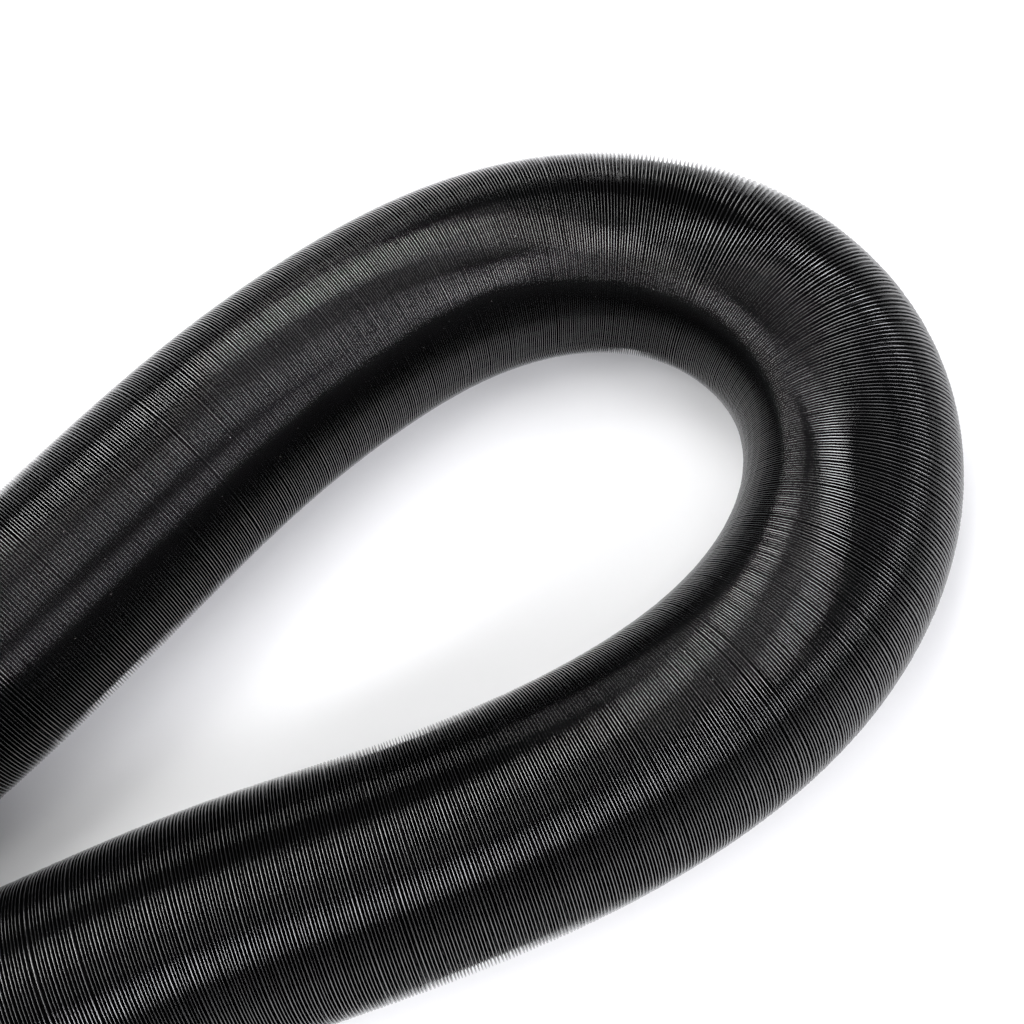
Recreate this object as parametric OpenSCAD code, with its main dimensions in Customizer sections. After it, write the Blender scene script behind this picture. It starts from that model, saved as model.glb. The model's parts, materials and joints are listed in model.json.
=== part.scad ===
// Stretch vacuum hose lying in a teardrop loop: a rib-walled hose with a swivelling,
// latching connector for the cleaner on one end and a swivelling cuff for a wand on the
// other. Millimetres, +Z up, the floor at z = 0, both ends side by side pointing along -X.
// Each end is built in its own frame: local z runs outward along the hose from the hose's
// cut end, local x points up and local y stays sideways.

/* [Hose] */
// Outer diameter over the ribs
hose_d = 46; // [45.6:0.1:46]
// Thickness of the folded, wire-wound wall
hose_wall = 3; // [2.6:0.1:3.2]
// Length of hose held inside each nut
hose_grip = 26; // [24:1:28]

/* [Ends] */
// Diameter of the connector's shell and of the cuff's rubber grip
cuff_d = 62; // [62:0.2:63]
// Sideways distance from the middle to each end's axis
end_offset = 38; // [37:0.5:39]
// Radial gap between a nut and the part that turns on it
swivel_gap = 0.1; // [0.05:0.01:0.1]
// Length of each rubber bend relief
relief_len = 34; // [30:1:36]

/* [Machine connector] */
// Outer diameter of the spigot that enters the cleaner
spigot_d = 38; // [37.4:0.1:38]
// Bore of the spigot
spigot_bore_d = 34; // [33:0.5:34.5]
// Free length of the spigot past its gasket
spigot_reach = 36; // [32:1:38]
// Diameter of the latch levers' pins
latch_pin_d = 2.5; // [2.2:0.1:2.6]

/* [Tool cuff] */
// Bore of the socket that takes a wand or a tool
socket_d = 38.5; // [38.2:0.1:38.6]
// Depth of the socket
socket_depth = 42; // [38:1:44]
// Angle that the suction relief collar turns through
bleed_turn = 50; // [45:1:52]
// Diameter of the release button's head
button_d = 12; // [11.6:0.1:12]

/* [Hidden] */
$fn = 96;

hose_r = hose_d / 2;
bore_r = hose_r - hose_wall;
cuff_r = cuff_d / 2;
hose_end_x = -214;
cut = 1;          // how far a cutting shape runs past the face it cuts
slip = 0.02;      // gap between two fixed parts that touch on a round face
hose_room = 0.1;  // gap round the hose inside a nut
relief_room = 0.3; // gap round the hose inside a bend relief

// The hose's route from the machine end to the tool end, as the control points of a uniform
// cubic B-spline: x, y, and how far the hose has risen from the floor to the ends' height.
// The first and the last point only steer the ends.
ROUTE = [
    [-254, end_offset, 1], [-214, end_offset, 1], [-174, end_offset, 1],
    [-134, end_offset, 1], [-94, 35, 0.5], [-54, 30, 0], [-12, 26, 0], [28, 25, 0],
    [66, 31, 0], [98, 37, 0], [129, 45, 0], [160, 53, 0], [191, 57, 0], [224, 57, 0],
    [255, 46, 0], [277, 22, 0], [281, -12, 0], [263, -40, 0], [233, -55, 0],
    [201, -58, 0], [169, -54, 0], [138, -46, 0], [108, -36, 0], [76, -30, 0],
    [45, -24, 0], [8, -24, 0], [-30, -27, 0], [-62, -31, 0], [-98, -35, 0.5],
    [-134, -end_offset, 1], [-174, -end_offset, 1], [-214, -end_offset, 1],
    [-254, -end_offset, 1],
];
BEND = [12, 19];       // the route's spans in the tight bend, which get more rings
hose_sides = 12;

// Machine end, from the inside out
nut_r = hose_r + 2.4;
nut_flange_r = nut_r + 2.6;
nut_flange_h = 3;
nut_nose_r = hose_r;
nut_nose_z = 8;
seal_gap = 0.1;
skirt_bore_r = nut_nose_r + 2.2;
skirt_r = skirt_bore_r + 1.4;
skirt_z = nut_flange_h + 0.4;
seat_z = nut_nose_z + 1.2;
spigot_flange_r = nut_flange_r + 0.6;
spigot_flange_h = 3;
spigot_r = spigot_d / 2;
spigot_root_r = spigot_r + 0.6; // the thicker root that the shell and the gasket grip
shell_rear_z = -20;
shell_front_z = 50;
gasket_h = 2.5;
spigot_tip_z = shell_front_z + gasket_h + spigot_reach;
rail_half_w = 8;       // half the height of the side rails that hold screws and latches
rail_reach = 37;       // how far the rails reach sideways
screw_y = 32.5;
SCREW_Z = [-8, 12];
screw_r = 1.4;
screw_head_r = 2.8;
screw_head_h = 2;
latch_y = 33.9;
latch_z = 40;
latch_pin_r = latch_pin_d / 2;
latch_half_w = 5.8;
pocket_floor_y = 29.8;
pocket_rear_z = 20;
latch_seat_y = 33.5;   // the inner face of a lever's finger pad
latch_spring_z = 28;

// Tool end, from the inside out
tool_nut_r = hose_r + 2.6;
tool_nut_front_z = 5;
ring_z = [-8, -5.8];
ring_groove_r = tool_nut_r - 1.2;
ring_out_r = tool_nut_r + 1.2;
cuff_throat_r = tool_nut_r + swivel_gap;
cuff_rear_z = -24;
cuff_seat_z = 7;
grip_in_r = cuff_throat_r + 2.9;
neck_r = 23.4;
bleed_z = [14, 24];
bleed_half_w = 6;
collar_z = [10.4, 29.2];
collar_in_r = neck_r + 0.1;
collar_out_r = collar_in_r + 3.1;
peg_half_w = 1.2;
peg_z = [26.5, 29];
peg_out_r = neck_r + 1.8;
socket_z = 36;
cuff_front_z = socket_z + socket_depth;
button_z = cuff_front_z - 12;
button_stem_r = 4;
button_head_x = 25.6;
button_seat_x = 23.6;
button_tip_x = 19.7;

// ---------- helpers ----------

// Moves a shape built in an end's own frame to where that end lies; side is 1 or -1.
module at_end(side) {
    translate([hose_end_x, side * end_offset, cuff_r]) rotate([0, -90, 0]) children();
}

// A plain ring from z0 to z1.
module ring(out_r, in_r, z0, z1) {
    difference() {
        translate([0, 0, z0]) cylinder(r = out_r, h = z1 - z0);
        translate([0, 0, z0 - cut]) cylinder(r = in_r, h = z1 - z0 + 2 * cut);
    }
}

// A block between two corners.
module block(low, high) {
    translate(low) cube(high - low);
}

// A rectangle with round corners, centred, made of exact arcs.
module round_rect(w, h, r) {
    square([w - 2 * r, h], center = true);
    square([w, h - 2 * r], center = true);
    for (sx = [-1, 1], sy = [-1, 1])
        translate([sx * (w / 2 - r), sy * (h / 2 - r)]) circle(r = r);
}

function unit(v) = v / norm(v);

// Value of one span of a uniform cubic B-spline at t from 0 to 1.
function spline(a, b, c, d, t) =
    (a * pow(1 - t, 3) + b * (3 * pow(t, 3) - 6 * t * t + 4)
     + c * (-3 * pow(t, 3) + 3 * t * t + 3 * t + 1) + d * pow(t, 3)) / 6;

// Points of a ring of the given radius round a path point; up is never along the path.
function ring_points(centre, tangent, up, r, sides) =
    let (across = unit(cross(up, tangent)), lift = cross(tangent, across))
    [for (k = [0 : sides - 1])
        centre + r * (across * cos(360 * k / sides) + lift * sin(360 * k / sides))];

function path_tangent(path, i) =
    unit(path[min(i + 1, len(path) - 1)] - path[max(i - 1, 0)]);

// Triangles that join ring a to ring b; flip turns them to face the other way.
function band_faces(a, b, sides, flip) =
    [for (k = [0 : sides - 1])
        let (n = (k + 1) % sides)
        each flip ? [[a + k, a + n, b + n], [a + k, b + n, b + k]]
                  : [[a + k, b + n, a + n], [a + k, b + k, b + n]]];

// A solid round wire swept along a path.
module swept_wire(path, r, sides, up) {
    last = len(path) - 1;
    points = [for (i = [0 : last])
        each ring_points(path[i], path_tangent(path, i), up, r, sides)];
    walls = [for (i = [0 : last - 1])
        each band_faces(i * sides, (i + 1) * sides, sides, false)];
    start = [for (k = [0 : sides - 1]) k];
    end = [for (k = [sides - 1 : -1 : 0]) last * sides + k];
    polyhedron(points = points, faces = concat(walls, [start], [end]));
}

// A coil spring along +z, from 0 to height, over the wire.
module coil_spring(mean_r, height, turns, wire_r) {
    steps = 14;
    path = [for (i = [0 : turns * steps])
        let (a = 360 * i / steps)
        [mean_r * cos(a), mean_r * sin(a),
         wire_r + (height - 2 * wire_r) * i / (turns * steps)]];
    swept_wire(path, wire_r, 6, [0, 0, 1]);
}

// ---------- hose ----------

function route_point(i) =
    [ROUTE[i][0], ROUTE[i][1], hose_r + ROUTE[i][2] * (cuff_r - hose_r)];

function span_steps(i) = i >= BEND[0] && i < BEND[1] ? 3 : 2;

hose_path = [
    for (i = [0 : len(ROUTE) - 4])
        let (steps = span_steps(i))
        for (k = [0 : steps - (i == len(ROUTE) - 4 ? 0 : 1)])
            spline(route_point(i), route_point(i + 1), route_point(i + 2),
                   route_point(i + 3), k / steps),
];

// One hollow tube with open ends, swept along the route.
module hose_tube() {
    rings = len(hose_path);
    inner = rings * hose_sides;
    up = [0, 0, 1];
    outer_points = [for (i = [0 : rings - 1])
        each ring_points(hose_path[i], path_tangent(hose_path, i), up, hose_r, hose_sides)];
    inner_points = [for (i = [0 : rings - 1])
        each ring_points(hose_path[i], path_tangent(hose_path, i), up, bore_r, hose_sides)];
    walls = [for (i = [0 : rings - 2])
        let (a = i * hose_sides, b = a + hose_sides)
        each concat(band_faces(a, b, hose_sides, false),
                    band_faces(inner + a, inner + b, hose_sides, true))];
    last = inner - hose_sides;
    mouths = concat(band_faces(0, inner, hose_sides, true),
                    band_faces(last, inner + last, hose_sides, false));
    color("#19191b")
        polyhedron(points = concat(outer_points, inner_points),
                   faces = concat(walls, mouths));
}

// A grooved rubber collar behind a nut that spreads the hose's bending.
module bend_relief() {
    root_r = hose_r + 3.4;
    tip_r = hose_r + 1.6;
    grooves = 5;
    groove_w = 2;
    groove_floor_r = hose_r + 1;
    pitch = relief_len / (grooves + 1);
    color("#1f1f21") translate([0, 0, -hose_grip]) difference() {
        rotate_extrude() polygon([
            [hose_r + relief_room, 0], [root_r, 0], [root_r, -3], [tip_r, 1 - relief_len],
            [tip_r - 1, -relief_len], [hose_r + relief_room, -relief_len]]);
        for (i = [1 : grooves])
            ring(root_r + cut, groove_floor_r, -i * pitch - groove_w / 2,
                 -i * pitch + groove_w / 2);
    }
}

// ---------- machine end ----------

module machine_hose_nut() {
    color("#2a2b2d") at_end(1) rotate_extrude() polygon([
        [hose_r + hose_room, -hose_grip], [hose_r + hose_room, 0], [bore_r, 0],
        [bore_r, nut_nose_z], [nut_nose_r, nut_nose_z], [nut_nose_r, nut_flange_h],
        [nut_flange_r, nut_flange_h], [nut_flange_r, 0], [nut_r, 0], [nut_r, -hose_grip]]);
}

module machine_bend_relief() {
    at_end(1) bend_relief();
}

module machine_lip_seal() {
    back_z = skirt_z + 1.2;
    front_z = seat_z - 1;
    lip = 0.9;
    color("#101011") at_end(1) rotate_extrude() polygon([
        [nut_nose_r + seal_gap, back_z], [nut_nose_r + seal_gap, back_z + lip],
        [nut_nose_r + lip, back_z + 2 * lip], [nut_nose_r + lip, front_z],
        [skirt_bore_r - slip, front_z], [skirt_bore_r - slip, back_z]]);
}

module machine_spigot() {
    taper_z = seat_z + 13;
    chamfer = 1.2;
    front_z = seat_z + spigot_flange_h;
    color("#2a2b2d") at_end(1) rotate_extrude() polygon([
        [skirt_bore_r, skirt_z], [skirt_bore_r, seat_z], [bore_r, seat_z],
        [spigot_bore_d / 2, taper_z], [spigot_bore_d / 2, spigot_tip_z],
        [spigot_r - chamfer, spigot_tip_z], [spigot_r, spigot_tip_z - chamfer],
        [spigot_r, shell_front_z + gasket_h], [spigot_root_r, shell_front_z + gasket_h],
        [spigot_root_r, front_z], [spigot_flange_r, front_z], [spigot_flange_r, seat_z],
        [skirt_r, seat_z], [skirt_r, skirt_z]]);
}

module machine_gasket() {
    out_r = 25;
    bead = 0.8;
    in_r = spigot_root_r + slip;
    color("#101011") at_end(1) rotate_extrude() polygon([
        [in_r, shell_front_z], [in_r, shell_front_z + gasket_h],
        [in_r + 2, shell_front_z + gasket_h], [in_r + 2 + bead, shell_front_z + gasket_h - bead],
        [out_r - 1, shell_front_z + gasket_h - bead], [out_r, shell_front_z + 1],
        [out_r, shell_front_z]]);
}

// The connector's whole outside with its side rails, before it is cut in two.
module shell_outside() {
    edge = 2;
    rail_rear_z = -16;
    rail_front_z = 48;
    rotate_extrude() polygon([
        [0, shell_rear_z], [cuff_r - edge, shell_rear_z], [cuff_r, shell_rear_z + edge],
        [cuff_r, shell_front_z - edge], [cuff_r - edge, shell_front_z], [0, shell_front_z]]);
    intersection() {
        translate([0, 0, rail_rear_z]) linear_extrude(rail_front_z - rail_rear_z)
            round_rect(2 * rail_half_w, 2 * rail_reach, 4);
        rotate_extrude() polygon([
            [0, rail_rear_z], [cuff_r - 1, rail_rear_z], [rail_reach + 2, rail_rear_z + 14],
            [rail_reach + 2, rail_front_z - 8], [cuff_r + 1, rail_front_z], [0, rail_front_z]]);
    }
}

// The turned room inside the shell: nut throat, two flange grooves, core and spigot hole.
module shell_inside() {
    play = 0.2;
    core_r = 24;
    core_z = [16, 44];
    front_z = seat_z + spigot_flange_h;
    rotate_extrude() polygon([
        [0, shell_rear_z - cut], [nut_r + swivel_gap, shell_rear_z - cut],
        [nut_r + swivel_gap, -play], [nut_flange_r + play, -play],
        [nut_flange_r + play, nut_flange_h + play], [skirt_r + play, nut_flange_h + play],
        [skirt_r + play, seat_z], [spigot_flange_r + slip, seat_z],
        [spigot_flange_r + slip, front_z], [spigot_root_r + slip, front_z],
        [spigot_root_r + slip, core_z[0]], [core_r, core_z[0]], [core_r, core_z[1]],
        [spigot_root_r + slip, core_z[1]], [spigot_root_r + slip, shell_front_z + cut],
        [0, shell_front_z + cut]]);
}

// The open pockets that the latch levers sit in, with their pins' holes.
module latch_pockets() {
    pocket_half_w = latch_half_w + 0.3;
    for (side = [-1, 1]) {
        far_y = side * (rail_reach + cut);
        near_y = side * pocket_floor_y;
        block([-pocket_half_w, min(near_y, far_y), pocket_rear_z],
              [pocket_half_w, max(near_y, far_y), shell_front_z + cut]);
        translate([0, side * latch_y, latch_z]) rotate([0, 90, 0])
            cylinder(r = latch_pin_r + slip, h = 2 * rail_half_w - 2, center = true);
    }
}

module at_screws() {
    for (side = [-1, 1], z = SCREW_Z)
        translate([0, side * screw_y, z]) rotate([0, 90, 0]) children();
}

module shell_half(up) {
    half = [rail_reach + cut, rail_reach + cut];
    difference() {
        intersection() {
            shell_outside();
            block([up ? 0 : -cuff_r - cut, -half[0], shell_rear_z - cut],
                  [up ? cuff_r + cut : 0, half[1], shell_front_z + cut]);
        }
        shell_inside();
        latch_pockets();
        children();
    }
}

module machine_shell_upper() {
    depth = 5.4;
    color("#303134") at_end(1) shell_half(true)
        at_screws() translate([0, 0, -cut]) cylinder(r = screw_r + 0.05, h = depth + cut);
}

module machine_shell_lower() {
    color("#303134") at_end(1) shell_half(false)
        at_screws() {
            translate([0, 0, -rail_half_w - cut])
                cylinder(r = screw_r + 0.2, h = rail_half_w + 2 * cut);
            translate([0, 0, -rail_half_w - cut])
                cylinder(r = screw_head_r + 0.2, h = screw_head_h + cut);
        }
}

module machine_shell_screws() {
    head_z = -rail_half_w;
    cross_w = 0.8;
    cross_l = 3;
    depth = 1;
    color("#b4b6b8") at_end(1) at_screws() difference() {
        union() {
            translate([0, 0, head_z]) cylinder(r = screw_head_r, h = screw_head_h);
            translate([0, 0, head_z]) cylinder(r = screw_r, h = rail_half_w + 5);
        }
        for (turn = [0, 90]) rotate([0, 0, turn])
            translate([0, 0, head_z]) cube([cross_l, cross_w, 2 * depth], center = true);
    }
}

// A latch lever: finger pad behind the pin, hook ahead of it, seen from above.
module latch_lever(side) {
    pad_rear_z = 22;
    pad_y = 39.5;
    arm_y = [31.8, 36];
    hook_y = 28.5;
    hook_z = [59.5, 64];
    color("#5a5c60") at_end(1) difference() {
        rotate([0, -90, 0]) mirror([0, side < 0 ? 1 : 0, 0])
            linear_extrude(2 * latch_half_w, center = true) polygon([
                [pad_rear_z, latch_seat_y], [pad_rear_z, pad_y - 1.5],
                [pad_rear_z + 2, pad_y], [pad_rear_z + 5, pad_y - 0.8],
                [pad_rear_z + 8, pad_y - 0.8], [pad_rear_z + 12, pad_y],
                [latch_z - 2, arm_y[1]], [hook_z[0], arm_y[1]], [hook_z[1], arm_y[1] - 2],
                [hook_z[0] + 2, hook_y], [hook_z[0], hook_y], [hook_z[0], arm_y[0]],
                [latch_z - 2, arm_y[0]], [latch_z - 5, latch_seat_y]]);
        translate([0, side * latch_y, latch_z]) rotate([0, 90, 0])
            cylinder(r = latch_pin_r + 0.05, h = 2 * latch_half_w + 2 * cut, center = true);
    }
}

module latch_lever_left() {
    latch_lever(-1);
}

module latch_lever_right() {
    latch_lever(1);
}

module latch_pin(side) {
    length = 2 * rail_half_w - 2.4;
    color("#c3c5c8") at_end(1) translate([0, side * latch_y, latch_z])
        rotate([0, 90, 0]) cylinder(r = latch_pin_r, h = length, center = true);
}

module latch_pin_left() {
    latch_pin(-1);
}

module latch_pin_right() {
    latch_pin(1);
}

module latch_spring(side) {
    gap = 0.03;
    height = latch_seat_y - pocket_floor_y - 2 * gap;
    color("#c3c5c8") at_end(1)
        translate([0, side * (pocket_floor_y + gap), latch_spring_z])
            rotate([-90 * side, 0, 0]) coil_spring(2.4, height, 4, 0.25);
}

module latch_spring_left() {
    latch_spring(-1);
}

module latch_spring_right() {
    latch_spring(1);
}

// ---------- tool end ----------

module tool_hose_nut() {
    color("#2a2b2d") at_end(-1) rotate_extrude() polygon([
        [hose_r + hose_room, -hose_grip], [hose_r + hose_room, 0], [bore_r, 0],
        [bore_r, tool_nut_front_z], [tool_nut_r, tool_nut_front_z],
        [tool_nut_r, ring_z[1]], [ring_groove_r, ring_z[1]], [ring_groove_r, ring_z[0]],
        [tool_nut_r, ring_z[0]], [tool_nut_r, -hose_grip]]);
}

module tool_bend_relief() {
    at_end(-1) bend_relief();
}

// A split spring ring, half in the nut's groove and half in the cuff's.
module tool_retaining_ring() {
    play = 0.1;
    split = 6;
    color("#c3c5c8") at_end(-1) difference() {
        ring(ring_out_r, ring_groove_r + play, ring_z[0] + play, ring_z[1] - play);
        block([-split / 2, 0, ring_z[0] - cut], [split / 2, cuff_r, ring_z[1] + cut]);
    }
}

module tool_lip_seal() {
    out_r = cuff_throat_r - slip;
    in_r = bore_r + 0.8;
    back_z = tool_nut_front_z + 0.2;
    color("#101011") at_end(-1) rotate_extrude() polygon([
        [in_r, cuff_seat_z], [in_r, back_z + 0.6], [in_r + 1.4, back_z],
        [in_r + 2.4, back_z + 0.6], [out_r, back_z + 0.6], [out_r, cuff_seat_z]]);
}

module tool_cuff() {
    play = 0.2;
    lead = 1;
    stop_r = socket_d / 2 - 1.45;
    stop_z = socket_z - 3;
    bead_r = neck_r + 1.2;
    keeper_z = collar_z[1] + 0.3;
    keeper_h = 1.6;
    shoulder_z = collar_z[0] - 0.4;
    guard_r = button_d / 2 + 2.4;
    guard_x = 26.6;
    color("#303134") at_end(-1) difference() {
        union() {
            rotate_extrude() polygon([
                [cuff_throat_r, cuff_rear_z], [cuff_throat_r, ring_z[0] - play],
                [ring_out_r + play, ring_z[0] - play], [ring_out_r + play, ring_z[1] + play],
                [cuff_throat_r, ring_z[1] + play], [cuff_throat_r, cuff_seat_z],
                [bore_r, cuff_seat_z], [bore_r, stop_z - 3], [stop_r, stop_z],
                [stop_r, socket_z], [socket_d / 2, socket_z],
                [socket_d / 2, cuff_front_z - lead], [socket_d / 2 + lead, cuff_front_z],
                [bead_r, cuff_front_z], [bead_r, cuff_front_z - 3],
                [neck_r, cuff_front_z - 4], [neck_r, keeper_z + keeper_h],
                [neck_r + 0.8, keeper_z + keeper_h - 0.6], [neck_r + 0.8, keeper_z],
                [neck_r, keeper_z], [neck_r, shoulder_z], [grip_in_r, shoulder_z - 4],
                [grip_in_r, cuff_rear_z]]);
            difference() {
                translate([socket_d / 2 + 1, 0, button_z]) rotate([0, 90, 0])
                    cylinder(r = guard_r, h = guard_x - socket_d / 2 - 1);
                cylinder(r = socket_d / 2 + 0.5, h = cuff_front_z);
            }
            block([-peg_out_r, -peg_half_w, peg_z[0]], [-neck_r + 1, peg_half_w, peg_z[1]]);
        }
        block([0, -bleed_half_w, bleed_z[0]], [cuff_r, bleed_half_w, bleed_z[1]]);
        translate([button_seat_x, 0, button_z]) rotate([0, 90, 0])
            cylinder(r = button_d / 2 + 0.3, h = cuff_r);
        translate([0, 0, button_z]) rotate([0, 90, 0])
            cylinder(r = button_stem_r + 0.05, h = cuff_r);
    }
}

// A rubber sleeve over the cuff's rear, with finger grooves all round.
module tool_grip_sleeve() {
    front_z = collar_z[0] - 5;
    edge = 1.5;
    groove_w = 2.4;
    groove_depth = 0.9;
    pitch = 4.6;
    first_z = cuff_rear_z + 4;
    color("#1b1b1d") at_end(-1) difference() {
        rotate_extrude() polygon([
            [grip_in_r + slip, cuff_rear_z], [cuff_r - edge, cuff_rear_z],
            [cuff_r, cuff_rear_z + edge], [cuff_r, front_z - edge],
            [cuff_r - edge, front_z], [grip_in_r + slip, front_z]]);
        for (z = [first_z : pitch : front_z - 4])
            ring(cuff_r + cut, cuff_r - groove_depth, z, z + groove_w);
    }
}

// The suction relief collar: its window meets the cuff's when it has turned all the way.
module bleed_collar() {
    ribs = 20;
    rib_r = 0.9;
    edge = 0.8;
    slack = 3;
    peg_room = 0.3;
    color("#5a5c60") at_end(-1) difference() {
        union() {
            rotate_extrude() polygon([
                [collar_in_r, collar_z[0]], [collar_out_r - edge, collar_z[0]],
                [collar_out_r, collar_z[0] + edge], [collar_out_r, collar_z[1] - edge],
                [collar_out_r - edge, collar_z[1]], [collar_in_r, collar_z[1]]]);
            for (i = [0 : ribs - 1]) rotate([0, 0, 360 * (i + 0.5) / ribs])
                translate([collar_out_r - 0.4, 0, collar_z[0] + 2])
                    cylinder(r = rib_r, h = collar_z[1] - collar_z[0] - 4, $fn = 24);
        }
        rotate([0, 0, -bleed_turn])
            block([0, -bleed_half_w, bleed_z[0]], [cuff_r, bleed_half_w, bleed_z[1]]);
        rotate([0, 0, 180 - bleed_turn - 2 * slack])
            rotate_extrude(angle = bleed_turn + 3 * slack + 1)
                translate([collar_in_r - cut, peg_z[0] - peg_room])
                    square([peg_out_r + peg_room - collar_in_r + cut, cuff_r]);
    }
}

module tool_release_button() {
    head_h = 2.2;
    dome = 0.7;
    color("#5a5c60") at_end(-1) translate([0, 0, button_z]) rotate([0, 90, 0])
        rotate_extrude() polygon([
            [0, button_tip_x], [button_stem_r - 0.6, button_tip_x],
            [button_stem_r, button_tip_x + 0.6], [button_stem_r, button_head_x],
            [button_d / 2, button_head_x], [button_d / 2, button_head_x + head_h - dome],
            [button_d / 2 - 1.5, button_head_x + head_h], [0, button_head_x + head_h]]);
}

module tool_release_spring() {
    gap = 0.03;
    color("#c3c5c8") at_end(-1)
        translate([button_seat_x + gap, 0, button_z]) rotate([0, 90, 0])
            coil_spring(5, button_head_x - button_seat_x - 2 * gap, 3, 0.25);
}

hose_tube();
machine_hose_nut();
machine_bend_relief();
machine_lip_seal();
machine_spigot();
machine_gasket();
machine_shell_upper();
machine_shell_lower();
machine_shell_screws();
latch_lever_left();
latch_lever_right();
latch_pin_left();
latch_pin_right();
latch_spring_left();
latch_spring_right();
tool_hose_nut();
tool_bend_relief();
tool_retaining_ring();
tool_lip_seal();
tool_cuff();
tool_grip_sleeve();
bleed_collar();
tool_release_button();
tool_release_spring();
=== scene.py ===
"""Looks of a stretch vacuum hose and its two end fittings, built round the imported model."""
import json
import math

import bmesh
import bpy
import numpy as np
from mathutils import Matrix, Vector


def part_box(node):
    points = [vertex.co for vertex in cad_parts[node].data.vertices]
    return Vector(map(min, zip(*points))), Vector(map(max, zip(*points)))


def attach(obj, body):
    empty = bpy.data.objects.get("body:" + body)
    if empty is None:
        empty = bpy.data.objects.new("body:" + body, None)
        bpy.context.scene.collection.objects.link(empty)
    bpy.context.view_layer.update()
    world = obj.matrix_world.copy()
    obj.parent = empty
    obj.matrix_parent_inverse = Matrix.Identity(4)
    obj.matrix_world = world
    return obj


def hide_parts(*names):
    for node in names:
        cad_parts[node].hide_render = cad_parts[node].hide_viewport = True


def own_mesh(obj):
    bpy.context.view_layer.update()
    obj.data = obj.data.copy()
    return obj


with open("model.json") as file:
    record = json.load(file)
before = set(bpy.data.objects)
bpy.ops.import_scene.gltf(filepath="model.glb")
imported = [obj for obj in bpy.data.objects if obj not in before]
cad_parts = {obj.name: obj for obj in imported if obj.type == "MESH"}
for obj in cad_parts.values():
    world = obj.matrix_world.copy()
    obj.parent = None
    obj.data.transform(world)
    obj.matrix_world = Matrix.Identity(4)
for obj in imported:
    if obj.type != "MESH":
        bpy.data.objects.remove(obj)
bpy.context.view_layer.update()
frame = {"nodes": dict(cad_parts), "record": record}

MM = 0.001
SEED = 46
rng = np.random.default_rng(SEED)

# ---------- camera ----------

CAMERA_TARGET = Vector((0.200, 0.001, 0.023))
CAMERA_DISTANCE = 0.2683
CAMERA_AZIMUTH = math.radians(-35.5)
CAMERA_ELEVATION = math.radians(66.28)
CAMERA_LENS = 44.3
SENSOR = 36.0
CLIP_START = 0.01


def direction(azimuth, elevation):
    """Unit vector towards a place seen at that azimuth and elevation, in radians."""
    return Vector((math.sin(azimuth) * math.cos(elevation),
                   -math.cos(azimuth) * math.cos(elevation),
                   math.sin(elevation)))


def look_from(obj, place, target):
    """Put a camera or a lamp at a place, facing the target."""
    obj.location = place
    obj.rotation_euler = (target - place).to_track_quat("-Z", "Y").to_euler()


def add_camera():
    data = bpy.data.cameras.new("camera")
    data.lens = CAMERA_LENS
    data.sensor_width = SENSOR
    data.clip_start = CLIP_START
    camera = bpy.data.objects.new("camera", data)
    bpy.context.scene.collection.objects.link(camera)
    place = CAMERA_TARGET + CAMERA_DISTANCE * direction(CAMERA_AZIMUTH, CAMERA_ELEVATION)
    look_from(camera, place, CAMERA_TARGET)
    bpy.context.scene.camera = camera


add_camera()

# ---------- the hose's route ----------

HOSE_R = 23.0 * MM
BORE_R = 20.0 * MM
END_Y = 38 * MM
HIGH = 31 * MM           # height of the hose's middle where the end fittings lift it,
HALF = 27 * MM           # halfway down to the floor,
LOW = HOSE_R             # and where it lies on the floor
ROUTE = np.array([
    (-0.254, END_Y, HIGH), (-0.214, END_Y, HIGH), (-0.174, END_Y, HIGH), (-0.134, END_Y, HIGH),
    (-0.094, 0.035, HALF), (-0.054, 0.030, LOW), (-0.012, 0.026, LOW), (0.028, 0.025, LOW),
    (0.066, 0.031, LOW), (0.098, 0.037, LOW), (0.129, 0.045, LOW), (0.160, 0.053, LOW),
    (0.191, 0.057, LOW), (0.224, 0.057, LOW), (0.255, 0.046, LOW), (0.277, 0.022, LOW),
    (0.281, -0.012, LOW), (0.263, -0.040, LOW), (0.233, -0.055, LOW), (0.201, -0.058, LOW),
    (0.169, -0.054, LOW), (0.138, -0.046, LOW), (0.108, -0.036, LOW), (0.076, -0.030, LOW),
    (0.045, -0.024, LOW), (0.008, -0.024, LOW), (-0.030, -0.027, LOW), (-0.062, -0.031, LOW),
    (-0.098, -0.035, HALF), (-0.134, -END_Y, HIGH), (-0.174, -END_Y, HIGH),
    (-0.214, -END_Y, HIGH), (-0.254, -END_Y, HIGH)])
SPAN_STEPS = 120


def spline_line():
    """The hose's middle line: the uniform cubic B-spline of the route, as close points."""
    t = np.arange(SPAN_STEPS) / SPAN_STEPS
    weights = np.stack([(1 - t) ** 3, 3 * t ** 3 - 6 * t ** 2 + 4,
                        -3 * t ** 3 + 3 * t ** 2 + 3 * t + 1, t ** 3], axis=1) / 6
    spans = [weights @ ROUTE[i:i + 4] for i in range(len(ROUTE) - 3)]
    end = (ROUTE[-3] + 4 * ROUTE[-2] + ROUTE[-1]) / 6
    return np.concatenate(spans + [end[None]])


def unit(vectors):
    return vectors / np.linalg.norm(vectors, axis=-1, keepdims=True)


LINE = spline_line()
LINE_S = np.concatenate([[0], np.cumsum(np.linalg.norm(np.diff(LINE, axis=0), axis=1))])
HOSE_LENGTH = LINE_S[-1]
TANGENT = unit(np.gradient(LINE, LINE_S, axis=0))
ACROSS = unit(np.cross([0, 0, 1], TANGENT))
LIFT = np.cross(TANGENT, ACROSS)


def at(values, s):
    """Values given along the line, read at distances s from the machine end."""
    return np.stack([np.interp(s, LINE_S, values[:, k]) for k in range(3)], axis=-1)


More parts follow.
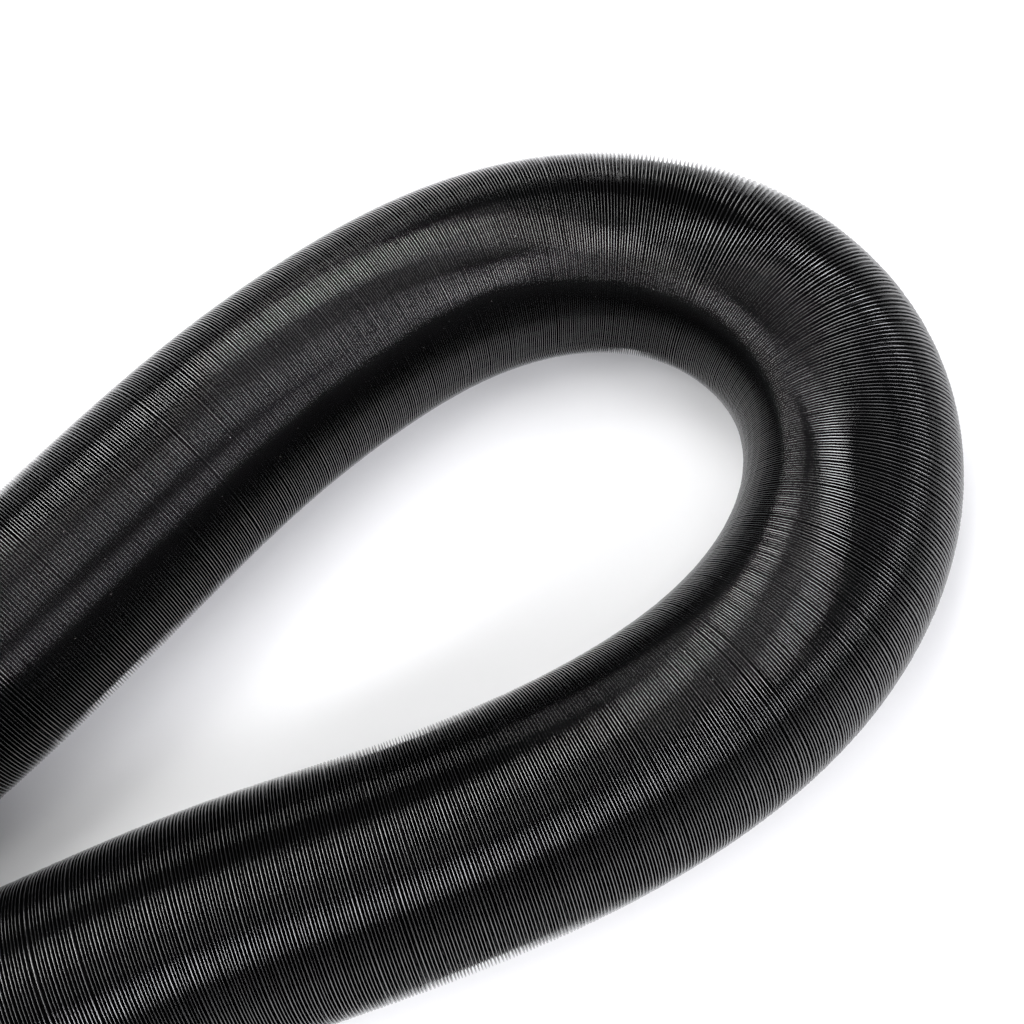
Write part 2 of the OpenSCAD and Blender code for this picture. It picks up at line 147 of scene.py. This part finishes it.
def on_hose(s, angle, radius):
    """Points at distance s along the hose, at an angle round it and a radius from its middle."""
    out = at(ACROSS, s) * np.cos(angle)[..., None] + at(LIFT, s) * np.sin(angle)[..., None]
    return at(LINE, s) + out * np.asarray(radius)[..., None]


# ---------- ribs ----------

# Rib pitch, in millimetres, at places along the hose, in millimetres from the machine end:
# drawn together on the gentle stretches and opened round the bend.
PITCH_AT = [0, 360, 420, 470, 505, 540, 570, 605, 720, 770, 1060]
PITCH = [0.62, 0.62, 0.585, 0.66, 0.84, 0.82, 0.74, 0.61, 0.63, 0.66, 0.62]
RIB_DEPTH = 1.45 * MM
# One rib's outline: share of the pitch, and depth below the crest as a share of RIB_DEPTH.
RIB_PROFILE = [(0.0, 1.0), (0.26, 0.72), (0.335, 0.16), (0.43, 0.0), (0.57, 0.0),
               (0.665, 0.16), (0.74, 0.72)]
ROUND = 48               # points round the hose
PLAY_STEP = 0.5          # turns between the places where the unevenness is drawn
SPACING_PLAY = 0.09      # how unevenly the ribs are spaced, as a share of the pitch
PLAY_LIMIT = 0.2         # the most that it may be
LOOSE_GAPS = 0.08        # share of the gaps that stand open a little wider
LOOSE_BY = 0.42          # and by how much, as a share of the pitch
HEIGHT_PLAY = 0.035 * MM  # how far crests lie below the hose's full radius, as a deviation
SECTIONS = 6             # pieces that the ribbed ply is made in
OUTER_PLY_IN_R = 21.4 * MM
LINING_RING_GAP = 4 * MM

rows_per_rib = len(RIB_PROFILE)
pitch_here = np.interp(LINE_S, np.array(PITCH_AT) * MM, PITCH) * MM
rib_count_here = np.concatenate(
    [[0], np.cumsum(np.diff(LINE_S) * 2 / (pitch_here[1:] + pitch_here[:-1]))])
RIBS = int(rib_count_here[-1]) - 2

play_knots = np.arange(0, RIBS + 4, PLAY_STEP)
widths = 1 + rng.normal(0, SPACING_PLAY, len(play_knots)).clip(-PLAY_LIMIT, PLAY_LIMIT)
widths += LOOSE_BY * (rng.random(len(play_knots)) < LOOSE_GAPS)
uneven_turns = np.concatenate([[0], np.cumsum(widths[1:])])
uneven_turns *= play_knots[-1] / uneven_turns[-1]
height_play = rng.normal(0, HEIGHT_PLAY, len(play_knots))


def rib_place(turns):
    """Distance along the hose after so many turns of the rib's helix, unevenly spaced."""
    return np.interp(np.interp(turns, play_knots, uneven_turns), rib_count_here, LINE_S)


def mesh_piece(name, points, faces, corner_uvs=None, smooth=True):
    """A mesh object from arrays; faces is a list of arrays, one for each number of corners."""
    mesh = bpy.data.meshes.new(name)
    mesh.vertices.add(len(points))
    mesh.vertices.foreach_set("co", points.astype(np.float32).ravel())
    corners = np.concatenate([f.ravel() for f in faces])
    sizes = np.concatenate([np.full(len(f), f.shape[1]) for f in faces])
    mesh.loops.add(len(corners))
    mesh.loops.foreach_set("vertex_index", corners.astype(np.int32))
    mesh.polygons.add(len(sizes))
    mesh.polygons.foreach_set("loop_start",
                              np.concatenate([[0], np.cumsum(sizes)[:-1]]).astype(np.int32))
    mesh.polygons.foreach_set("use_smooth", np.broadcast_to(smooth, len(sizes)).copy())
    if corner_uvs is not None:
        layer = mesh.uv_layers.new(name="OFBake")
        layer.data.foreach_set("uv", corner_uvs.astype(np.float32).ravel())
    mesh.update(calc_edges=True)
    mesh.validate()
    piece = bpy.data.objects.new(name, mesh)
    bpy.context.scene.collection.objects.link(piece)
    return piece


def grid(rows, columns):
    """Row and column numbers of every cell of a grid, row by row."""
    return (g.ravel() for g in np.meshgrid(np.arange(rows), np.arange(columns), indexing="ij"))


def round_angles(count):
    """Angles of that many points spaced evenly round a circle."""
    return np.arange(count) / count * 2 * math.pi


# Which of a quad's four corners lie a step further on, in the two ways that walls are laid out.
ON_LAST_TWO = np.array([0, 0, 1, 1])
ON_MIDDLE_TWO = np.array([0, 1, 1, 0])


def strip(u, v, band):
    """Bake layout corners in a strip of the picture, as wide as it and between band's heights."""
    low, high = band
    return np.stack([u, low + (high - low) * v], axis=-1).reshape(-1, 2)


def crease_valleys(mesh, in_valley):
    """Mark the edges between valley points sharp, so that the gaps between ribs stay dark."""
    ends = np.empty(2 * len(mesh.edges), np.int32)
    mesh.edges.foreach_get("vertices", ends)
    sharp = mesh.attributes.new("sharp_edge", "BOOLEAN", "EDGE")
    sharp.data.foreach_set("value", in_valley[ends.reshape(-1, 2)].all(axis=1))


# Bake layout of the ribbed ply: the ribbed face takes most of it, the hidden faces little.
RIBBED_BAND, LINING_BAND = (0.10, 0.995), (0.05, 0.09)
START_BAND, END_BAND = (0.005, 0.02), (0.025, 0.04)


def outer_ply(name, first, last):
    """The ribbed ply from rib first to rib last: a closed wall, wound as one helix."""
    m = rows_per_rib
    rows = (last - first) * m
    profile_u, profile_depth = np.array(RIB_PROFILE).T
    # The wall's own rows, then the few more points of the seam past its last row.
    row = np.concatenate([np.repeat(np.arange(rows + 1), ROUND), rows + 1 + np.arange(m)])
    column = np.concatenate([np.tile(np.arange(ROUND), rows + 1), np.zeros(m, int)])
    turns = first + row // m + profile_u[row % m] + column / ROUND
    depth = profile_depth[row % m] * RIB_DEPTH
    crest = HOSE_R - np.abs(np.interp(turns, play_knots, height_play))
    outer = on_hose(rib_place(turns), column / ROUND * 2 * math.pi, crest - depth)

    def index(r, c):
        """Number of a point; a full turn round is the same point m rows on."""
        over = c == ROUND
        r = r + over * m
        c = np.where(over, 0, c)
        return np.where(r <= rows, r * ROUND + c, (rows + 1) * ROUND + r - rows - 1)

    # Smooth inner face, on plain rings.
    s0, s1 = rib_place(np.array([first + 0.5, last + 0.5]))
    rings = int((s1 - s0) / LINING_RING_GAP) + 1
    ring_s = np.repeat(np.linspace(s0, s1, rings + 1), ROUND)
    ring_angle = np.tile(round_angles(ROUND), rings + 1)
    inner = on_hose(ring_s, ring_angle, np.full(len(ring_s), OUTER_PLY_IN_R))
    base = len(outer)

    r, c = grid(rows, ROUND)
    wall = np.stack([index(r, c), index(r + 1, c), index(r + 1, c + 1), index(r, c + 1)], axis=1)
    k, d = grid(rings, ROUND)
    e = (d + 1) % ROUND
    lining = base + np.stack([k * ROUND + d, k * ROUND + e, (k + 1) * ROUND + e,
                              (k + 1) * ROUND + d], axis=1)
    c = np.arange(ROUND)
    e = (c + 1) % ROUND
    zero = np.zeros(ROUND, int)
    start = np.stack([base + c, index(zero, c), index(zero, c + 1), base + e], axis=1)
    tail = base + rings * ROUND
    end = np.stack([tail + c, tail + e, index(zero + rows, c + 1), index(zero + rows, c)], axis=1)
    seam = np.arange(m + 1)
    start_notch = np.concatenate([[base], index(seam, seam * 0)[::-1]])[None]
    end_notch = np.concatenate([[tail], index(rows + seam, seam * 0)])[None]
    quads = np.concatenate([wall, lining, start, end])
    notches = np.concatenate([start_notch, end_notch])

    wall_u = (r[:, None] + ON_MIDDLE_TWO) / rows
    wall_v = (np.tile(np.arange(ROUND), rows)[:, None] + ON_LAST_TWO) / ROUND
    lining_u = (k[:, None] + ON_LAST_TWO) / rings
    lining_v = (d[:, None] + ON_MIDDLE_TWO) / ROUND
    start_u = (c[:, None] + ON_LAST_TWO) / ROUND
    end_u = (c[:, None] + ON_MIDDLE_TWO) / ROUND
    across = np.tile(ON_MIDDLE_TWO, (ROUND, 1))
    uvs = np.concatenate([
        strip(wall_u, wall_v, RIBBED_BAND), strip(lining_u, lining_v, LINING_BAND),
        strip(start_u, across, START_BAND), strip(end_u, 1 - across, END_BAND),
        np.zeros((notches.size, 2))])
    smooth = np.arange(len(quads) + len(notches)) < len(wall) + len(lining)
    piece = mesh_piece(name, np.concatenate([outer, inner]), [quads, notches], uvs, smooth)
    crease_valleys(piece.data, np.concatenate([row % m == 0, np.zeros(len(inner), bool)]))
    return piece


INNER_PLY_OUT_R = 21.3 * MM
INNER_ROUND = 40
END_DETAIL = 90 * MM     # the stretch at each end where the bore can be seen into
DETAIL_STEP = 0.31 * MM
PLAIN_STEP = 3 * MM
BORE_RIB_DEPTH = 0.35 * MM
BORE_BAND, CORE_BAND = (0.10, 0.52), (0.54, 0.99)
MACHINE_CAP_BAND, TOOL_CAP_BAND = (0.01, 0.04), (0.05, 0.08)


def inner_ply():
    """The smooth inner tube, whose bore shows the rib's other face near its two ends."""
    near = np.arange(0, END_DETAIL, DETAIL_STEP)
    middle = np.linspace(END_DETAIL, HOSE_LENGTH - END_DETAIL,
                         int((HOSE_LENGTH - 2 * END_DETAIL) / PLAIN_STEP))
    s = np.concatenate([near, middle, HOSE_LENGTH - near[::-1]])
    valley = np.arange(len(s)) % 2 == 1
    valley &= (s < END_DETAIL) | (s > HOSE_LENGTH - END_DETAIL)
    bore = BORE_R + BORE_RIB_DEPTH * valley
    angle = np.tile(round_angles(INNER_ROUND), len(s))
    ring_s = np.repeat(s, INNER_ROUND)
    inside = on_hose(ring_s, angle, np.repeat(bore, INNER_ROUND))
    outside = on_hose(ring_s, angle, np.full(len(ring_s), INNER_PLY_OUT_R))
    k, d = grid(len(s) - 1, INNER_ROUND)
    e = (d + 1) % INNER_ROUND
    near_d, near_e = k * INNER_ROUND + d, k * INNER_ROUND + e
    far_d, far_e = near_d + INNER_ROUND, near_e + INNER_ROUND
    base = len(inside)
    c = np.arange(INNER_ROUND)
    n = (c + 1) % INNER_ROUND
    last = base - INNER_ROUND
    faces = np.concatenate([
        np.stack([near_d, near_e, far_e, far_d], axis=1),
        base + np.stack([near_d, far_d, far_e, near_e], axis=1),
        np.stack([c, base + c, base + n, n], axis=1),
        np.stack([last + c, last + n, base + last + n, base + last + c], axis=1)])
    bore_u = (k[:, None] + ON_LAST_TWO) / (len(s) - 1)
    bore_v = (d[:, None] + ON_MIDDLE_TWO) / INNER_ROUND
    core_u = (k[:, None] + ON_MIDDLE_TWO) / (len(s) - 1)
    core_v = (d[:, None] + ON_LAST_TWO) / INNER_ROUND
    cap_u = (c[:, None] + ON_LAST_TWO) / INNER_ROUND
    cap_v = np.tile(ON_MIDDLE_TWO, (INNER_ROUND, 1))
    uvs = np.concatenate([
        strip(bore_u, bore_v, BORE_BAND), strip(core_u, core_v, CORE_BAND),
        strip(cap_u, cap_v, MACHINE_CAP_BAND), strip(cap_u, cap_v, TOOL_CAP_BAND)])
    return mesh_piece("hose_inner_ply", np.concatenate([inside, outside]), [faces], uvs)


def build_hose():
    """The ribbed pieces and the inner ply, which stand for hose_tube."""
    edges = [round(i * RIBS / SECTIONS) for i in range(SECTIONS + 1)]
    plies = [outer_ply(f"hose_outer_ply_{i + 1}", edges[i], edges[i + 1])
             for i in range(SECTIONS)]
    core = inner_ply()
    for piece in plies + [core]:
        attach(piece, "hose")
    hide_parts("hose_tube")
    return plies, core


hose_plies, hose_core = build_hose()

# ---------- finger grooves in the machine connector's shell ----------

GROOVES = 6
GROOVE_PITCH = 6.4 * MM
GROOVE_MOUTH_W = 3.4 * MM
GROOVE_FLOOR_W = 1.8 * MM
GROOVE_DEPTH = 0.9 * MM
GROOVE_OVER = 1.0 * MM   # how far a cutter stands out of the shell
GROOVE_SWEEP = math.radians(50)
GROOVE_STEPS = 40
RUN_OUT = 0.05 * MM      # how far a cutter's floor stands clear of the shell at its two ends
RUN_OUT_POWER = 8        # and how late along the groove it rises there
WELD = 0.001 * MM
SHARP_FROM = math.radians(12)


def groove_cutter(node, side):
    """Arched wedges over a shell half's crown that rise out of it at both ends.

    side is 1 on the upper half and -1 on the lower.
    """
    low, high = (np.array(corner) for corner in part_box(node))
    middle = (low + high) / 2
    radius = high[2] - low[2]
    axis_z = low[2] if side > 0 else high[2]
    t = np.linspace(-1, 1, GROOVE_STEPS + 1)
    floor_r = radius + RUN_OUT - (GROOVE_DEPTH + RUN_OUT) * (1 - t ** RUN_OUT_POWER)
    mouth_r = np.full(len(t), radius + GROOVE_OVER)
    section = ((-GROOVE_FLOOR_W / 2, floor_r), (GROOVE_FLOOR_W / 2, floor_r),
               (GROOVE_MOUTH_W / 2, mouth_r), (-GROOVE_MOUTH_W / 2, mouth_r))
    angle = t * GROOVE_SWEEP
    steps = np.arange(GROOVE_STEPS)
    points, faces = [], []
    for k in range(GROOVES):
        x = middle[0] + (k - (GROOVES - 1) / 2) * GROOVE_PITCH
        base = k * 4 * len(t)
        for offset, r in section:
            points.append(np.stack([np.full(len(t), x + offset), middle[1] + r * np.sin(angle),
                                    axis_z + side * r * np.cos(angle)], axis=1))
        for c in range(4):
            a, b = base + c * len(t), base + (c + 1) % 4 * len(t)
            faces.append(np.stack([a + steps, b + steps, b + steps + 1, a + steps + 1], axis=1))
        first = base + len(t) * np.arange(4)
        faces += [first[None, ::-1], first[None] + GROOVE_STEPS]
    # On the lower half the cutter is a mirror image, so its faces turn the other way round.
    faces = np.concatenate(faces)[:, ::-side]
    return mesh_piece(node + "_cutter", np.concatenate(points), [faces], smooth=False)


def grooved_shell(node, side):
    """A copy of a shell half with finger grooves cut across its crown."""
    cutter = groove_cutter(node, side)
    whole = bmesh.new()
    whole.from_mesh(frame["nodes"][node].data)
    bmesh.ops.remove_doubles(whole, verts=whole.verts, dist=WELD)
    welded = bpy.data.meshes.new(node + "_grooved")
    whole.to_mesh(welded)
    whole.free()
    shell = bpy.data.objects.new(node + "_grooved", welded)
    bpy.context.scene.collection.objects.link(shell)
    cut = shell.modifiers.new("grooves", "BOOLEAN")
    cut.operation = "DIFFERENCE"
    cut.solver = "EXACT"
    cut.object = cutter
    evaluated = shell.evaluated_get(bpy.context.evaluated_depsgraph_get())
    mesh = bpy.data.meshes.new_from_object(evaluated)
    shell.modifiers.clear()
    mesh.set_sharp_from_angle(angle=SHARP_FROM)
    shell.data = mesh
    bpy.data.objects.remove(cutter)
    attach(shell, "machine_connector")
    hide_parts(node)
    return shell


grooved_shells = [grooved_shell("machine_shell_upper", 1),
                  grooved_shell("machine_shell_lower", -1)]

# ---------- springs drawn as wire coils --------------------

WIRE_R = 0.25 * MM
WIRE_SIDES = 10
WIRE_STEPS = 28          # rings of points to one turn of a coil
ALONG_Y, ALONG_Z = 1, 2
LATCH_TURNS, LATCH_KEEP = 4, 0.38        # keep is the share of its height left when pressed
RELEASE_TURNS, RELEASE_KEEP = 2.5, 0.14


def coil_mesh(name, axis, low, high, turns):
    """A round wire coil with closed wire ends that fills a box along one axis (0, 1 or 2)."""
    across = [(axis + 1) % 3, (axis + 2) % 3]
    middle = (low + high) / 2
    mean_r = (high[across[0]] - low[across[0]]) / 2 - WIRE_R
    count = int(turns * WIRE_STEPS) + 1
    share = np.linspace(0, 1, count)
    angle = share * turns * 2 * math.pi
    centre = np.tile(middle, (count, 1))
    centre[:, axis] = low[axis] + WIRE_R + share * (high[axis] - low[axis] - 2 * WIRE_R)
    outward = np.zeros((count, 3))
    outward[:, across[0]], outward[:, across[1]] = np.cos(angle), np.sin(angle)
    centre += mean_r * outward
    along = np.zeros(3)
    along[axis] = 1.0
    turn = round_angles(WIRE_SIDES)
    points = (centre[:, None] + WIRE_R * (np.cos(turn)[None, :, None] * outward[:, None]
                                          + np.sin(turn)[None, :, None] * along))
    k, d = grid(count - 1, WIRE_SIDES)
    e = (d + 1) % WIRE_SIDES
    wall = np.stack([k * WIRE_SIDES + d, k * WIRE_SIDES + e, (k + 1) * WIRE_SIDES + e,
                     (k + 1) * WIRE_SIDES + d], axis=1)
    ring = np.arange(WIRE_SIDES)
    ends = np.stack([ring[::-1], (count - 1) * WIRE_SIDES + ring])
    smooth = np.arange(len(wall) + 2) < len(wall)
    return mesh_piece(name, points.reshape(-1, 3), [wall, ends], smooth=smooth)


def pressed_spring(node, body, axis, fixed_high, turns):
    """A coil in place of a CAD spring, attached to its body in the spring's stead."""
    low, high = (np.array(corner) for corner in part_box(node))
    spring = coil_mesh(node + "_coil", axis, low, high, turns)
    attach(spring, body)
    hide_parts(node)
    anchor = (low + high) / 2
    anchor[axis] = high[axis] if fixed_high else low[axis]
    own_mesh(spring)
    return spring


springs = [
    pressed_spring("latch_spring_left", "machine_connector",
                   ALONG_Y, True, LATCH_TURNS),
    pressed_spring("latch_spring_right", "machine_connector",
                   ALONG_Y, False, LATCH_TURNS),
    pressed_spring("tool_release_spring", "tool_end",
                   ALONG_Z, False, RELEASE_TURNS)]

# ---------- materials ----------

NOISE_ROUGHNESS = 0.55
BEVEL_SAMPLES = 4
MIX_COLOUR_INPUTS = (6, 7)       # the Mix node has one pair of inputs for each kind of data
MIX_COLOUR_OUTPUT = 2


class Recipe:
    """A material with a Principled shader and short calls for the nodes that feed it."""

    def __init__(self, name, **inputs):
        self.material = bpy.data.materials.new(name)
        self.material.use_nodes = True
        self.nodes = self.material.node_tree.nodes
        self.links = self.material.node_tree.links
        self.shader = self.nodes["Principled BSDF"]
        for key, value in inputs.items():
            socket = key.replace("_", " ").title().replace("Ior", "IOR")
            self.shader.inputs[socket].default_value = value
        self.place = self.nodes.new("ShaderNodeTexCoord").outputs["Object"]

    def link(self, output, target):
        self.links.new(output, target)

    def stretched(self, scale):
        """The place on the object, scaled along each axis."""
        node = self.nodes.new("ShaderNodeMapping")
        node.inputs["Scale"].default_value = scale
        self.link(self.place, node.inputs["Vector"])
        return node.outputs["Vector"]

    def noise(self, size, detail=3, place=None):
        """Cloudy noise whose features are about size metres across."""
        node = self.nodes.new("ShaderNodeTexNoise")
        node.inputs["Scale"].default_value = 1 / size
        node.inputs["Detail"].default_value = detail
        node.inputs["Roughness"].default_value = NOISE_ROUGHNESS
        self.link(place or self.place, node.inputs["Vector"])
        return node.outputs["Fac"]

    def cells(self, size):
        """Distance to the nearest of many scattered points, about size metres apart."""
        node = self.nodes.new("ShaderNodeTexVoronoi")
        node.inputs["Scale"].default_value = 1 / size
        self.link(self.place, node.inputs["Vector"])
        return node.outputs["Distance"]

    def spread(self, value, low, high, to_low, to_high):
        """value from low..high mapped smoothly to to_low..to_high."""
        node = self.nodes.new("ShaderNodeMapRange")
        node.interpolation_type = "SMOOTHSTEP"
        node.clamp = True
        for key, number in (("From Min", low), ("From Max", high),
                            ("To Min", to_low), ("To Max", to_high)):
            node.inputs[key].default_value = number
        self.link(value, node.inputs["Value"])
        return node.outputs["Result"]

    def sum(self, a, b, operation="ADD"):
        """Output a and b, which is an output or a number, added or otherwise combined."""
        node = self.nodes.new("ShaderNodeMath")
        node.operation = operation
        self.link(a, node.inputs[0])
        if isinstance(b, (int, float)):
            node.inputs[1].default_value = b
        else:
            self.link(b, node.inputs[1])
        return node.outputs[0]

    def blend(self, share, colour_a, colour_b):
        """colour_a where share is 0 and colour_b where it is 1; each is a colour or an output."""
        node = self.nodes.new("ShaderNodeMix")
        node.data_type = "RGBA"
        for number, colour in zip(MIX_COLOUR_INPUTS, (colour_a, colour_b)):
            if isinstance(colour, tuple):
                node.inputs[number].default_value = (*colour, 1)
            else:
                self.link(colour, node.inputs[number])
        self.link(share, node.inputs[0])
        return node.outputs[MIX_COLOUR_OUTPUT]

    def colour(self, output):
        self.link(output, self.shader.inputs["Base Color"])

    def roughness(self, output):
        self.link(output, self.shader.inputs["Roughness"])

    def relief(self, height, depth, soft_edge):
        """Bumps from a height output, depth metres deep, over edges softened by a radius."""
        bevel = self.nodes.new("ShaderNodeBevel")
        bevel.samples = BEVEL_SAMPLES
        bevel.inputs["Radius"].default_value = soft_edge
        bump = self.nodes.new("ShaderNodeBump")
        bump.inputs["Distance"].default_value = depth
        self.link(height, bump.inputs["Height"])
        self.link(bevel.outputs["Normal"], bump.inputs["Normal"])
        self.link(bump.outputs["Normal"], self.shader.inputs["Normal"])


def scaled(colour, factor):
    return tuple(c * factor for c in colour)


def hose_film():
    """Black film drawn tight over the wire: glossy crests, faint clouds, a few dust specks."""
    r = Recipe("hose_film", specular_ior_level=1.0, ior=1.68)
    clouds = r.noise(0.045, 3)
    dust = r.spread(r.cells(0.0042), 0.018, 0.03, 1, 0)
    base = r.blend(clouds, (0.0016, 0.0016, 0.0018), (0.003, 0.003, 0.0034))
    r.colour(r.blend(dust, base, (0.16, 0.16, 0.17)))
    gloss = r.spread(clouds, 0.3, 0.7, 0.14, 0.17)
    r.roughness(r.sum(gloss, r.sum(dust, 0.4, "MULTIPLY")))
    return r.material


def moulded_plastic(name, colour, roughness):
    """Spark-eroded moulding: fine even grain, cloudy sheen, faint rubbed streaks, soft edges."""
    r = Recipe(name)
    clouds = r.noise(0.02, 3)
    grain = r.noise(0.35 * MM, 2)
    streaks = r.spread(r.noise(0.004, 3, r.stretched((0.25, 1.6, 1.6))), 0.62, 0.78, 0, 0.5)
    base = r.blend(clouds, scaled(colour, 0.82), scaled(colour, 1.18))
    r.colour(r.blend(streaks, base, scaled(colour, 1.9)))
    r.roughness(r.sum(r.spread(clouds, 0.3, 0.7, roughness - 0.05, roughness + 0.06),
                      r.spread(grain, 0.3, 0.7, -0.03, 0.04)))
    r.relief(grain, 0.02 * MM, soft_edge=0.35 * MM)
    return r.material


def soft_rubber(name, colour, roughness):
    """Moulded rubber: velvety grain, a grey bloom in patches and specks of dust."""
    r = Recipe(name)
    clouds = r.noise(0.012, 4)
    grain = r.noise(0.22 * MM, 3)
    dust = r.spread(r.cells(0.0035), 0.02, 0.035, 0.8, 0)
    bloom = r.spread(clouds, 0.45, 0.75, 0, 0.6)
    base = r.blend(bloom, colour, scaled(colour, 2.0))
    r.colour(r.blend(dust, base, (0.2, 0.2, 0.2)))
    r.roughness(r.spread(clouds, 0.3, 0.7, roughness - 0.08, roughness + 0.06))
    r.relief(grain, 0.03 * MM, soft_edge=0.4 * MM)
    return r.material


def drawn_steel(name, colour, roughness, stretch):
    """Bright metal with fine marks along one direction and slight tarnish."""
    r = Recipe(name, metallic=1.0)
    clouds = r.noise(0.004, 3)
    marks = r.noise(0.25 * MM, 2, r.stretched(stretch))
    r.colour(r.blend(clouds, scaled(colour, 0.78), colour))
    r.roughness(r.sum(r.spread(marks, 0.3, 0.7, roughness - 0.07, roughness + 0.07),
                      r.spread(clouds, 0.3, 0.7, 0, 0.06)))
    r.relief(marks, 0.008 * MM, soft_edge=0.15 * MM)
    return r.material


MATERIALS = {
    "hose_wall": hose_film(),
    "nut_plastic": moulded_plastic("nut_plastic", (0.016, 0.016, 0.017), 0.4),
    "shell_plastic": moulded_plastic("shell_plastic", (0.030, 0.031, 0.034), 0.48),
    "control_plastic": moulded_plastic("control_plastic", (0.12, 0.125, 0.135), 0.42),
    "grip_rubber": soft_rubber("grip_rubber", (0.014, 0.014, 0.015), 0.72),
    "seal_rubber": soft_rubber("seal_rubber", (0.008, 0.008, 0.009), 0.5),
    "spring_steel": drawn_steel("spring_steel", (0.62, 0.63, 0.65), 0.25, (1, 1, 0.1)),
    "screw_steel": drawn_steel("screw_steel", (0.55, 0.56, 0.58), 0.32, (1, 0.1, 1)),
}


def dress(obj, slot):
    """Give an object its slot's material and no other."""
    obj.data.materials.clear()
    obj.data.materials.append(MATERIALS[slot])


for own_pieces, own_slot in ((hose_plies + [hose_core], "hose_wall"),
                             (grooved_shells, "shell_plastic"), (springs, "spring_steel")):
    for piece in own_pieces:
        dress(piece, own_slot)
for part in frame["record"]["subparts"]:
    dress(frame["nodes"][part["node"]], part["material_slot"])

# ---------- floor, light and world ----------


def broad_light(name, azimuth, elevation, strength, spread, colour=(1, 1, 1)):
    """A soft light far away, seen from the hose as a bright disc spread degrees across."""
    data = bpy.data.lights.new(name, "SUN")
    data.energy = strength
    data.angle = math.radians(spread)
    data.color = colour
    lamp = bpy.data.objects.new(name, data)
    bpy.context.scene.collection.objects.link(lamp)
    place = CAMERA_TARGET + direction(math.radians(azimuth), math.radians(elevation))
    look_from(lamp, place, CAMERA_TARGET)


COOL = (0.96, 0.96, 1.0)

# Name, azimuth, elevation, strength and spread of each light, and its colour if not white.
for lamp_values in (
        ("left_low_light", 237, 16, 1.9, 24), ("left_high_light", 260, 55, 1.0, 26),
        ("lower_left_light", 285, 28, 1.7, 24, (0.97, 0.97, 1.0)),
        ("camera_side_light", -10, 50, 0.4, 22, (0.95, 0.95, 1.0)),
        ("right_high_light", 22, 42, 0.7, 20, COOL), ("right_light", 48, 32, 1.4, 20, COOL),
        ("top_low_light", 150, 16, 0.8, 22), ("top_high_light", 185, 58, 0.75, 24),
        ("top_left_light", 215, 62, 0.75, 24), ("overhead_light", 54, 82, 0.5, 34)):
    broad_light(*lamp_values)


FLOOR_REACH = 4.0
ROOM_STRENGTH = 0.12     # what the object reflects besides the lights
GROUND_STRENGTH = 1.0    # what the camera sees past the floor


def add_floor():
    """A plain pale floor, wide enough to fill every view."""
    far = FLOOR_REACH
    points = np.array([(-far, -far, 0), (far, -far, 0), (far, far, 0), (-far, far, 0)])
    floor = mesh_piece("floor", points, [np.array([[0, 1, 2, 3]])], smooth=False)
    paper = Recipe("pale_floor", roughness=0.7)
    paper.colour(paper.blend(paper.noise(0.5), (0.89, 0.89, 0.9), (0.92, 0.92, 0.92)))
    floor.data.materials.append(paper.material)


add_floor()


def add_world():
    """A dim room that the object reflects, behind which the picture's ground is white."""
    world = bpy.data.worlds.new("studio")
    world.use_nodes = True
    nodes, links = world.node_tree.nodes, world.node_tree.links
    room = nodes["Background"]
    room.inputs["Color"].default_value = (*COOL, 1)
    room.inputs["Strength"].default_value = ROOM_STRENGTH
    ground = nodes.new("ShaderNodeBackground")
    ground.inputs["Color"].default_value = (1, 1, 1, 1)
    ground.inputs["Strength"].default_value = GROUND_STRENGTH
    seen = nodes.new("ShaderNodeLightPath")
    choose = nodes.new("ShaderNodeMixShader")
    links.new(seen.outputs["Is Camera Ray"], choose.inputs[0])
    links.new(room.outputs[0], choose.inputs[1])
    links.new(ground.outputs[0], choose.inputs[2])
    links.new(choose.outputs[0], nodes["World Output"].inputs["Surface"])
    bpy.context.scene.world = world


add_world()
bpy.context.scene.view_settings.view_transform = "Standard"
